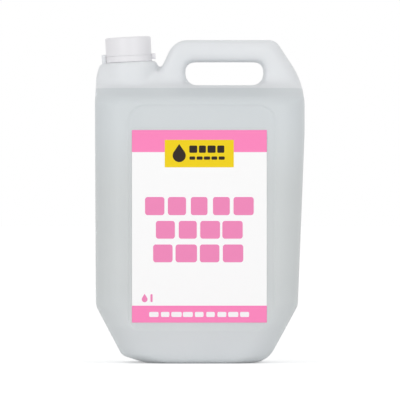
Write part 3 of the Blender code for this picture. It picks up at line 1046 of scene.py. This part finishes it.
def thread_tree() -> Tree:
    """Build the tree that winds a right-handed thread which runs out at both ends.

    Returns:
        The tree, with inputs for its radius, start, pitch, turns, section and side, for the turn that its
        run-out takes, and for the size of its section at its very end.
    """
    tree, given = new_tree("screw_thread", Int=("Steps",), Float=(
        "Radius", "Start", "Pitch", "Turns", "Rise", "Foot", "Crest", "Side", "Run Out", "End"))
    climb = add_node(tree, "ShaderNodeMath", {0: given["Turns"], 1: given["Pitch"]}, operation="MULTIPLY")
    spiral = add_node(tree, "GeometryNodeCurveSpiral", {
        "Resolution": given["Steps"], "Rotations": given["Turns"], "Start Radius": given["Radius"],
        "End Radius": given["Radius"], "Height": climb, "Reverse": True})
    start = add_node(tree, "ShaderNodeCombineXYZ", {"Z": given["Start"]})
    helix = add_node(tree, "GeometryNodeTransform", {"Geometry": spiral, "Translation": start})
    upright = add_node(tree, "GeometryNodeSetCurveNormal", {"Curve": helix}, mode="Z_UP")
    share = add_node(tree, "GeometryNodeSplineParameter").outputs["Factor"]
    from_end = add_node(tree, "ShaderNodeMath", {0: share, 1: 0.5}, operation="PINGPONG")
    run_out = add_node(tree, "ShaderNodeMath", {0: given["Run Out"], 1: given["Turns"]}, operation="DIVIDE")
    swell = add_node(tree, "ShaderNodeMapRange", {
        "Value": from_end, "From Max": run_out, "To Min": given["End"], "To Max": 1.0})
    sized = add_node(tree, "GeometryNodeSetCurveRadius", {"Curve": upright, "Radius": swell})
    section = add_node(tree, "GeometryNodeCurvePrimitiveQuadrilateral", {
        "Height": given["Rise"], "Bottom Width": given["Foot"], "Top Width": given["Crest"], "Offset": 0.0},
        mode="TRAPEZOID")
    half = add_node(tree, "ShaderNodeMath", {0: given["Rise"], 1: 0.5}, operation="MULTIPLY")
    lift = add_node(tree, "ShaderNodeCombineXYZ", {"Y": half})
    lifted = add_node(tree, "GeometryNodeTransform", {"Geometry": section, "Translation": lift})
    quarter = add_node(tree, "ShaderNodeMath", {0: given["Side"], 1: -math.pi / 2.0}, operation="MULTIPLY")
    turn = add_node(tree, "ShaderNodeCombineXYZ", {"Z": quarter})
    faced = add_node(tree, "GeometryNodeTransform", {"Geometry": lifted, "Rotation": turn})
    ridge = add_node(tree, "GeometryNodeCurveToMesh", {
        "Curve": sized, "Profile Curve": faced, "Fill Caps": True})
    close_tree(tree, ridge, given)
    return tree


@dataclass
class PartingLine:
    """The fine flash where the halves of the blow mould met, in the plane through the can's middle."""

    width: float = 0.0010
    rise: float = 0.00025
    step: float = 0.0020           # how far apart the points of its course lie
    lowest: float = 0.0012         # it is trimmed off the rim that the can stands on
    section_points: int = 8

    def tree(self) -> Tree:
        """Build the tree that sweeps a low rounded ridge along a mesh's edges.

        Returns:
            The tree, with inputs for the mesh, the ridge's section and the step between its points.
        """
        tree, given = new_tree("parting_line", Geometry=("Guide",), Float=("Width", "Rise", "Step"),
                               Int=("Points",))
        course = add_node(tree, "GeometryNodeMeshToCurve", {"Mesh": given["Guide"]})
        even = add_node(tree, "GeometryNodeResampleCurve", {"Curve": course, "Length": given["Step"]},
                        mode="LENGTH")
        across = add_node(tree, "GeometryNodeSetCurveNormal", {"Curve": even, "Normal": (0.0, 1.0, 0.0)},
                          mode="FREE")
        circle = add_node(tree, "GeometryNodeCurvePrimitiveCircle", {
            "Resolution": given["Points"], "Radius": 1.0})
        half = add_node(tree, "ShaderNodeMath", {0: given["Width"], 1: 0.5}, operation="MULTIPLY")
        size = add_node(tree, "ShaderNodeCombineXYZ", {"X": half, "Y": given["Rise"], "Z": 1.0})
        section = add_node(tree, "GeometryNodeTransform", {"Geometry": circle, "Scale": size})
        ridge = add_node(tree, "GeometryNodeCurveToMesh", {
            "Curve": across, "Profile Curve": section, "Fill Caps": True})
        close_tree(tree, ridge, given)
        return tree

    def course(self, skin: Piece) -> bpy.types.Mesh:
        """Take the edges in which the middle plane meets the can's skin.

        Args:
            skin: The can's outer skin.

        Returns:
            A mesh of those edges alone.
        """
        form = bmesh.new()
        form.from_mesh(skin.data)
        everything = [*form.verts, *form.edges, *form.faces]
        cut = bmesh.ops.bisect_plane(form, geom=everything, dist=WELD, plane_co=(0.0, 0.0, 0.0),
                                     plane_no=(0.0, 1.0, 0.0))["geom_cut"]
        kept = [edge for edge in cut if isinstance(edge, bmesh.types.BMEdge)
                and min(end.co.z for end in edge.verts) > self.lowest]
        line = bmesh.new()
        corners = dict.fromkeys(end for edge in kept for end in edge.verts)
        ends = {end: line.verts.new(end.co) for end in corners}
        for edge in kept:
            line.edges.new([ends[end] for end in edge.verts])
        mesh = bpy.data.meshes.new("parting_line_course")
        line.to_mesh(mesh)
        line.free()
        form.free()
        return mesh

    def ridge(self, skin: Piece, material: Material) -> Piece:
        """Grow the flash on the can's skin."""
        return grown("parting_line", self.tree(), material, {
            "Width": self.width, "Rise": self.rise, "Step": self.step, "Points": self.section_points},
            guide=self.course(skin))


@dataclass
class Can:
    """The blow-moulded bottle: its skin with panels and neck, less the same skin one wall further in."""

    form: CanForm
    panel: Panel
    neck: Neck
    parting: PartingLine
    wall: float = 0.0012
    outer_voxel: float = 0.0021
    inner_voxel: float = 0.0028
    crease: float = 50.0           # degrees

    def build(self, threads: Tree, finishes: Finishes) -> None:
        """Build the bottle, which rides on the can's body.

        Args:
            threads: The tree that winds threads.
            finishes: The can's finishes.
        """
        neck = self.neck
        inside = combined(self.form.blown("bottle_inside", self.wall, self.inner_voxel),
                          self.panel.cuts(self.wall))
        outside = self.form.blown("blown_bottle", 0.0, self.outer_voxel)
        bottle = combined(outside, [
            *self.panel.cuts(0.0),
            ("UNION", self.parting.ridge(outside, finishes.wall)),
            ("UNION", neck.outside()),
            ("UNION", neck.lug()),
            ("DIFFERENCE", inside),
            ("DIFFERENCE", neck.bore()),
        ])
        thread = neck.thread("neck_thread", threads, finishes.wall, neck.radius, neck.thread_start,
                             neck.thread_turns, 1.0)
        bottle = combined(bottle, [("UNION", thread)])
        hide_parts("bottle")
        finished(bottle, finishes.wall, Body.CAN, self.crease)


@dataclass
class Soap:
    """The liquid, which fills the inside of the can up to its level."""

    form: CanForm
    panel: Panel
    level: float
    inset: float = 0.0013          # the wall and a film's thickness of clearance
    voxel: float = 0.0032

    def build(self, finishes: Finishes) -> None:
        """Build the liquid, which rides on the can's body.

        Args:
            finishes: The can's finishes.
        """
        wide = 2.0 * self.form.left_side
        top = self.form.handle_top + BEYOND
        air = block("air_above_the_soap", (-wide, -wide, self.level), (wide, wide, top), Matrix.Identity(4))
        filled = self.form.blown("liquid_soap_fill", self.inset, self.voxel)
        soap = combined(filled, [*self.panel.cuts(self.inset), ("DIFFERENCE", air)])
        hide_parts("liquid_soap")
        finished(soap, finishes.soap, Body.CAN)


def nib_ring_tree() -> Tree:
    """Build the tree that stands small nibs in a ring, half of each sunk into what carries it.

    Returns:
        The tree, with inputs for the ring's radius and height and for the nibs' number and size.
    """
    tree, given = new_tree("nib_ring", Float=("Radius", "Lift", "Width", "Depth", "Rise"), Int=("Count",))
    circle = add_node(tree, "GeometryNodeMeshCircle", {"Vertices": given["Count"], "Radius": given["Radius"]})
    spot = add_node(tree, "GeometryNodeInputPosition")
    outward = add_node(tree, "FunctionNodeAlignEulerToVector", {"Vector": spot}, axis="X")
    height = add_node(tree, "ShaderNodeMath", {0: given["Rise"], 1: 2.0}, operation="MULTIPLY")
    size = add_node(tree, "ShaderNodeCombineXYZ", {"X": given["Depth"], "Y": given["Width"], "Z": height})
    nib = add_node(tree, "GeometryNodeMeshCube", {"Size": size})
    nibs = add_node(tree, "GeometryNodeInstanceOnPoints", {
        "Points": circle, "Instance": nib, "Rotation": outward})
    lift = add_node(tree, "ShaderNodeCombineXYZ", {"Z": given["Lift"]})
    raised = add_node(tree, "GeometryNodeTransform", {"Geometry": nibs, "Translation": lift})
    close_tree(tree, raised, given)
    return tree


@dataclass
class Closure:
    """The screw cap, its foam wad and the tamper ring that stays on the neck."""

    neck: Neck
    gap: float = 0.0003            # between the solids
    slit: float = 0.0001           # between the fine pieces, which close up to a hairline
    cap_radius: float = 0.02075
    edge_break: float = 0.0001
    cap_inner: float = 0.0191
    top_thickness: float = 0.0020
    edge_radius: float = 0.0016
    edge_steps: int = 8
    ring_height: float = 0.0050
    ring_inner: float = 0.0190
    ring_lip: float = 0.0178
    ring_lip_height: float = 0.0018
    tab_length: float = 0.0035
    tab_width: float = 0.0080
    tab_foot: float = 0.0018
    tab_top: float = 0.0068
    tab_clearance: float = 0.00015     # between the tab and the cap's skirt above the ring
    tab_rounding: float = 0.0004
    root_sink: float = 0.25        # how much of the ring's wall the tab's root runs into, as a share
    nib_count: int = 16
    nib_width: float = 0.0007
    nib_depth: float = 0.0005
    nib_rise: float = 0.00006
    liner_thickness: float = 0.0012
    liner_radius: float = 0.0178
    liner_edge: float = 0.0002
    thread_turns: float = 1.25
    flank_clearance: float = 0.0004
    steps: int = 128

    def cap(self, threads: Tree, finishes: Finishes) -> None:
        """Build the cap: a turned cup with its thread standing inwards from the skirt.

        Args:
            threads: The tree that winds threads.
            finishes: The can's finishes.
        """
        neck = self.neck
        foot = self.gap + self.ring_height + self.gap
        top = neck.height + 2.0 * self.gap + self.liner_thickness + self.top_thickness
        cup = turned("screw_cap", [
            (0.0, top), *arc_profile(self.cap_radius, top, self.edge_radius, self.edge_steps),
            (self.cap_radius, foot + self.edge_break), (self.cap_radius - self.edge_break, foot),
            (self.cap_inner, foot), (self.cap_inner, top - self.top_thickness),
            (0.0, top - self.top_thickness),
        ], self.steps, neck.place)
        drop = (neck.thread_foot + neck.thread_crest) / 2.0 + self.flank_clearance
        wound = neck.thread("cap_thread", threads, finishes.closure, self.cap_inner,
                            neck.thread_start - drop, self.thread_turns, -1.0)
        cap = combined(cup, [("UNION", wound)])
        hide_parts("cap")
        finished(cap, finishes.closure, Body.CAP)

    def ring(self, finishes: Finishes) -> None:
        """Build the tamper ring with its lip, its tab and what is left of its bridges to the cap.

        Args:
            finishes: The can's finishes.
        """
        place = self.neck.place
        low = self.slit
        top = self.gap + self.ring_height + self.gap - self.slit
        wall = self.cap_radius - self.ring_inner
        lip_top = self.gap + self.ring_lip_height
        band = turned("tamper_band", [
            (self.cap_radius - self.edge_break, top), (self.cap_radius, top - self.edge_break),
            (self.cap_radius, low + self.edge_break), (self.cap_radius - self.edge_break, low),
            (self.ring_lip, low), (self.ring_lip, lip_top),
            (self.ring_inner, lip_top + self.ring_inner - self.ring_lip), (self.ring_inner, top),
        ], self.steps, place)
        half = self.tab_width / 2.0
        tab = block("ring_tab", (self.cap_radius + self.tab_clearance, -half, self.tab_foot),
                    (self.cap_radius + self.tab_length, half, self.tab_top), place)
        inner = self.cap_radius - wall * self.root_sink
        narrow = half - self.tab_rounding
        root = block("ring_tab_root", (inner, -narrow, self.tab_foot + self.tab_rounding),
                     (inner + wall, narrow, top - self.gap), place)
        nibs = grown("ring_nibs", nib_ring_tree(), finishes.closure, {
            "Radius": self.ring_inner + wall / 2.0, "Count": self.nib_count, "Lift": top,
            "Width": self.nib_width, "Depth": self.nib_depth, "Rise": self.nib_rise}, place)
        rounded = softened(tab, self.tab_rounding)
        ring = combined(band, [("UNION", root), ("UNION", rounded), ("UNION", nibs)])
        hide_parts("tamper_ring")
        finished(ring, finishes.closure, Body.CAN)

    def liner(self, finishes: Finishes) -> None:
        """Build the foam wad between the neck's lip and the cap.

        Args:
            finishes: The can's finishes.
        """
        low = self.neck.height + self.gap
        high = low + self.liner_thickness
        inner = self.liner_radius - self.liner_edge
        wad = turned("foam_wad", [
            (0.0, high), (inner, high), (self.liner_radius, high - self.liner_edge),
            (self.liner_radius, low + self.liner_edge), (inner, low), (0.0, low),
        ], self.steps, self.neck.place)
        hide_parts("cap_liner")
        finished(wad, finishes.foam, Body.LINER)

    def build(self, threads: Tree, finishes: Finishes) -> None:
        """Build the closure's pieces.

        Args:
            threads: The tree that winds threads.
            finishes: The can's finishes.
        """
        self.cap(threads, finishes)
        self.ring(finishes)
        self.liner(finishes)


def block_row_tree() -> Tree:
    """Build the tree that prints a row of rounded blocks of uneven width, as a place-holder for words.

    Returns:
        The tree, with inputs for the row's box, the number, widths and corners of its blocks and the seed.
    """
    tree, given = new_tree("block_row", Float=(
        "Left", "Width", "Middle", "Height", "Face", "Narrowest", "Widest", "Rounding", "Thickness"),
        Int=("Count", "Corner Steps", "Seed"))
    step = add_node(tree, "ShaderNodeMath", {0: given["Width"], 1: given["Count"]}, operation="DIVIDE")
    first = add_node(tree, "ShaderNodeMath", {0: step, 1: 0.5, 2: given["Left"]}, operation="MULTIPLY_ADD")
    start = add_node(tree, "ShaderNodeCombineXYZ", {"X": first, "Y": given["Face"], "Z": given["Middle"]})
    offset = add_node(tree, "ShaderNodeCombineXYZ", {"X": step})
    places = add_node(tree, "GeometryNodeMeshLine", {
        "Count": given["Count"], "Start Location": start, "Offset": offset})
    outline = add_node(tree, "GeometryNodeCurvePrimitiveQuadrilateral", {
        "Width": step, "Height": given["Height"]})
    rounded = add_node(tree, "GeometryNodeFilletCurve", {
        "Curve": outline, "Radius": given["Rounding"], "Count": given["Corner Steps"]}, mode="POLY")
    filled = add_node(tree, "GeometryNodeFillCurve", {"Curve": rounded}, mode="NGONS")
    raised = add_node(tree, "GeometryNodeExtrudeMesh", {
        "Mesh": filled, "Offset Scale": given["Thickness"], "Individual": False})
    width = add_node(tree, "FunctionNodeRandomValue", {
        2: given["Narrowest"], 3: given["Widest"], "Seed": given["Seed"]}, data_type="FLOAT")
    scale = add_node(tree, "ShaderNodeCombineXYZ", {"X": width, "Y": 1.0, "Z": 1.0})
    blocks = add_node(tree, "GeometryNodeInstanceOnPoints", {
        "Points": places, "Instance": raised, "Rotation": (math.pi / 2.0, 0.0, 0.0), "Scale": scale})
    close_tree(tree, blocks, given)
    return tree


@dataclass
class PrintedField:
    """One flat field of ink, placed from the label's left and lower edges."""

    name: str
    ink: str                       # the name of its ink among the finishes
    left: float
    bottom: float
    width: float
    height: float
    rounding: float
    layer: int = 1                 # of the ink, from the film up


@dataclass
class BlockRow(PrintedField):
    """One row of printed blocks."""

    count: int = field(kw_only=True)
    seed: int = field(kw_only=True)
    narrowest: float = 0.74
    widest: float = 0.92


@dataclass
class PrintedDrop:
    """One printed drop of liquid: a circle with a point above it."""

    name: str
    ink: str
    middle: float                  # from the label's left edge
    centre: float                  # the circle's, from the label's lower edge
    radius: float
    point: float                   # how far above the circle's centre the point is
    layer: int = 1


@dataclass
class Label:
    """The film label in the front panel, with its printed fields, drops and rows of blocks."""

    low: Vector
    high: Vector
    rounding: float = 0.0005
    ink_thickness: float = 0.03 * MM
    corner_steps: int = 6
    drop_steps: int = 40
    fields: list[PrintedField] = field(default_factory=lambda: [
        PrintedField("top_band", "pink", 0.0, 0.1533, 0.1213, 0.0198, 0.0004),
        PrintedField("bottom_band", "pink", 0.0, 0.0, 0.1213, 0.0152, 0.0004),
        PrintedField("yellow_panel", "yellow", 0.0295, 0.1396, 0.0621, 0.0247, 0.0004, 2),
        PrintedField("small_bar", "rose", 0.0166, 0.0184, 0.0020, 0.0072, 0.00095),
    ])
    drops: list[PrintedDrop] = field(default_factory=lambda: [
        PrintedDrop("dark_drop", "brown", 0.0425, 0.1502, 0.0059, 0.0104, 3),
        PrintedDrop("small_drop", "rose", 0.0114, 0.0209, 0.0026, 0.0051),
    ])
    rows: list[BlockRow] = field(default_factory=lambda: [
        BlockRow("dark_row", "brown", 0.0510, 0.1526, 0.0330, 0.0066, 0.0012, 3, count=4, seed=4),
        BlockRow("fine_row", "brown", 0.0510, 0.1464, 0.0330, 0.0030, 0.0010, 3, count=5, seed=2),
        BlockRow("upper_row", "rose", 0.0105, 0.0966, 0.0999, 0.0163, 0.0026, count=5, seed=7),
        BlockRow("middle_row", "rose", 0.0200, 0.0754, 0.0805, 0.0160, 0.0026, count=4, seed=11),
        BlockRow("lower_row", "rose", 0.0173, 0.0542, 0.0841, 0.0160, 0.0026, count=4, seed=5),
        BlockRow("white_row", "white", 0.0146, 0.0050, 0.0918, 0.0046, 0.0013, 2, count=9, seed=9),
    ])

    def slab(self, name: str, ring: Ring, back: float, front: float) -> Piece:
        """Make a thin plate that faces the front.

        Args:
            name: The object's name.
            ring: Its outline, from the label's left and lower edges.
            back: The depth of its back.
            front: The depth of its front.

        Returns:
            The closed solid.
        """
        return loft(name, [[(self.low.x + x, depth, self.low.z + z) for x, z in ring]
                           for depth in (back, front)])

    def ink_back(self, layer: int) -> float:
        """Find how deep the back of a layer of ink lies."""
        return self.low.y - (layer - 1) * self.ink_thickness

    def outline(self, part: PrintedField | PrintedDrop) -> Ring:
        """Lay a field's rounded rectangle, or a drop's two tangents and the arc between them.

        Args:
            part: The field or the drop.

        Returns:
            The outline, from the label's left and lower edges.
        """
        if isinstance(part, PrintedField):
            return rounded_ring(part.left, part.left + part.width, part.bottom, part.bottom + part.height,
                                part.rounding, self.corner_steps)
        opening = math.acos(part.radius / part.point)
        sweep = 2.0 * (math.pi - opening)
        angles = [opening + sweep * step / self.drop_steps for step in range(self.drop_steps + 1)]
        arc = [(part.middle - part.radius * math.sin(angle), part.centre + part.radius * math.cos(angle))
               for angle in angles]
        return [(part.middle, part.centre + part.point), *arc]

    def film(self, finishes: Finishes) -> None:
        """Build the film itself.

        Args:
            finishes: The can's finishes.
        """
        size = self.high - self.low
        ring = rounded_ring(0.0, size.x, 0.0, size.z, self.rounding, self.corner_steps)
        film = self.slab("label_film", ring, self.high.y, self.low.y)
        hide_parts("front_label")
        finished(film, finishes.film, Body.CAN)

    def build(self, rows_tree: Tree, finishes: Finishes) -> None:
        """Build the film and its print.

        Args:
            rows_tree: The tree that prints rows of blocks.
            finishes: The can's finishes.
        """
        self.film(finishes)
        for part in (*self.fields, *self.drops):
            back = self.ink_back(part.layer)
            finished(self.slab(part.name, self.outline(part), back, back - self.ink_thickness),
                     finishes.inks[part.ink], Body.CAN)
        for row in self.rows:
            piece = grown(row.name, rows_tree, finishes.inks[row.ink], {
                "Left": self.low.x + row.left, "Width": row.width, "Height": row.height,
                "Middle": self.low.z + row.bottom + row.height / 2.0, "Face": self.ink_back(row.layer),
                "Count": row.count, "Narrowest": row.narrowest, "Widest": row.widest, "Seed": row.seed,
                "Rounding": row.rounding, "Corner Steps": self.corner_steps, "Thickness": self.ink_thickness})
            finished(piece, finishes.inks[row.ink], Body.CAN)


@dataclass
class Studio:
    """The white studio: floor, soft lamps, world and the long lens of the photograph."""

    middle_x: float = 0.2 * MM
    eye_height: float = 147.4 * MM
    distance: float = 6.0
    frame_width: float = 363.4 * MM    # what the picture takes in at the can's middle
    clip_end: float = 100.0
    floor_size: float = 60.0
    floor_colour: str = "#F4F4F4"
    floor_lift: float = 0.37           # light added to what the camera sees of the floor
    sky: float = 0.74
    lamp_size: float = 1.2
    lamps: tuple[tuple[str, tuple[float, float, float], float], ...] = (
        ("key_lamp", (-1.1, -2.0, 0.55), 8.6),
        ("fill_lamp", (1.2, -2.0, 0.35), 8.0),
    )

    def camera(self) -> None:
        """Place the camera straight in front, on a long lens."""
        data = bpy.data.cameras.new("long_lens")
        data.sensor_width = SENSOR_WIDTH
        data.lens = SENSOR_WIDTH * self.distance / self.frame_width
        data.clip_end = self.clip_end
        made = bpy.data.objects.new("long_lens", data)
        made.location = (self.middle_x, -self.distance, self.eye_height)
        made.rotation_euler = (math.pi / 2.0, 0.0, 0.0)
        bpy.context.scene.collection.objects.link(made)
        bpy.context.scene.camera = made

    def seen(self, tree: Tree) -> Node:
        """Tell camera, glossy and transmission rays from the rest.

        Args:
            tree: The tree that asks.

        Returns:
            The node that gives 1 for them and 0 for the rest.
        """
        ray = add_node(tree, "ShaderNodeLightPath").outputs
        shiny = add_node(tree, "ShaderNodeMath", {0: ray["Is Glossy Ray"], 1: ray["Is Transmission Ray"]},
                         operation="MAXIMUM")
        return add_node(tree, "ShaderNodeMath", {0: ray["Is Camera Ray"], 1: shiny}, operation="MAXIMUM")

    def floor(self) -> None:
        """Lay the white floor, which keeps the can's shadow."""
        form = bmesh.new()
        bmesh.ops.create_grid(form, x_segments=1, y_segments=1, size=self.floor_size / 2.0)
        made = object_from("studio_floor", form)
        material, tree = new_material("white_studio_floor")
        matt = add_node(tree, "ShaderNodeBsdfDiffuse", {"Color": linear(self.floor_colour)})
        strength = add_node(tree, "ShaderNodeMath", {0: self.seen(tree), 1: self.floor_lift},
                            operation="MULTIPLY")
        lift = add_node(tree, "ShaderNodeEmission", {"Strength": strength})
        both = add_node(tree, "ShaderNodeAddShader", {0: matt, 1: lift})
        add_node(tree, "ShaderNodeOutputMaterial", {"Surface": both})
        made.data.materials.append(material)

    def lamp(self, name: str, spot: Sequence[float], power: float) -> None:
        """Hang a soft square lamp that faces the can's middle.

        Args:
            name: The lamp's name.
            spot: Where it hangs.
            power: Its power in watts.
        """
        data = bpy.data.lights.new(name, "AREA")
        data.size = self.lamp_size
        data.energy = power
        made = bpy.data.objects.new(name, data)
        made.location = spot
        aim = Vector((0.0, 0.0, self.eye_height)) - Vector(spot)
        made.rotation_euler = aim.to_track_quat("-Z", "Y").to_euler()
        bpy.context.scene.collection.objects.link(made)

    def world(self) -> None:
        """Fill the room with even white light, seen as pure white."""
        made = bpy.data.worlds.new("white_room")
        made.use_nodes = True
        tree = made.node_tree
        tree.nodes.clear()
        brightness = add_node(tree, "ShaderNodeMapRange", {
            "Value": self.seen(tree), "To Min": self.sky, "To Max": 1.0})
        light = add_node(tree, "ShaderNodeBackground", {"Color": linear(WHITE), "Strength": brightness})
        add_node(tree, "ShaderNodeOutputWorld", {"Surface": light})
        bpy.context.scene.world = made

    def build(self) -> None:
        """Set up the whole studio."""
        self.camera()
        self.floor()
        for name, spot, power in self.lamps:
            self.lamp(name, spot, power)
        self.world()
        bpy.context.scene.view_settings.view_transform = "Standard"


def neck_axis() -> Matrix:
    """Read the neck's axis off the joint that the cap turns on.

    Returns:
        The axis's frame: its origin on the boss's face, its Z up the neck.
    """
    joint = next(one for one in frame["joints"] if one["name"] == "cap_turn")
    across, _, upward = joint["axis"]
    lean = math.atan2(-across, upward)
    return Matrix.Translation(joint["pos_m"]) @ Matrix.Rotation(-lean, 4, "Y")


def main() -> None:
    """Build the can, its closure, its label and the studio, in that order."""
    logging.basicConfig(level=logging.INFO, format="%(message)s")
    low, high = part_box("bottle")
    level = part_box("liquid_soap")[1].z
    finishes = Finishes(level)
    parting = PartingLine()
    neck = Neck(neck_axis())
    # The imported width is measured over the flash, so the skin lies its rise further in
    form = CanForm(-low.x - parting.rise, high.x - parting.rise, high.y, neck.place)
    panel = Panel(high.y)
    threads = thread_tree()
    Can(form, panel, neck, parting).build(threads, finishes)
    Soap(form, panel, level).build(finishes)
    Closure(neck).build(threads, finishes)
    Label(*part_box("front_label")).build(block_row_tree(), finishes)
    Studio().build()


if __name__ == "__main__":
    main()
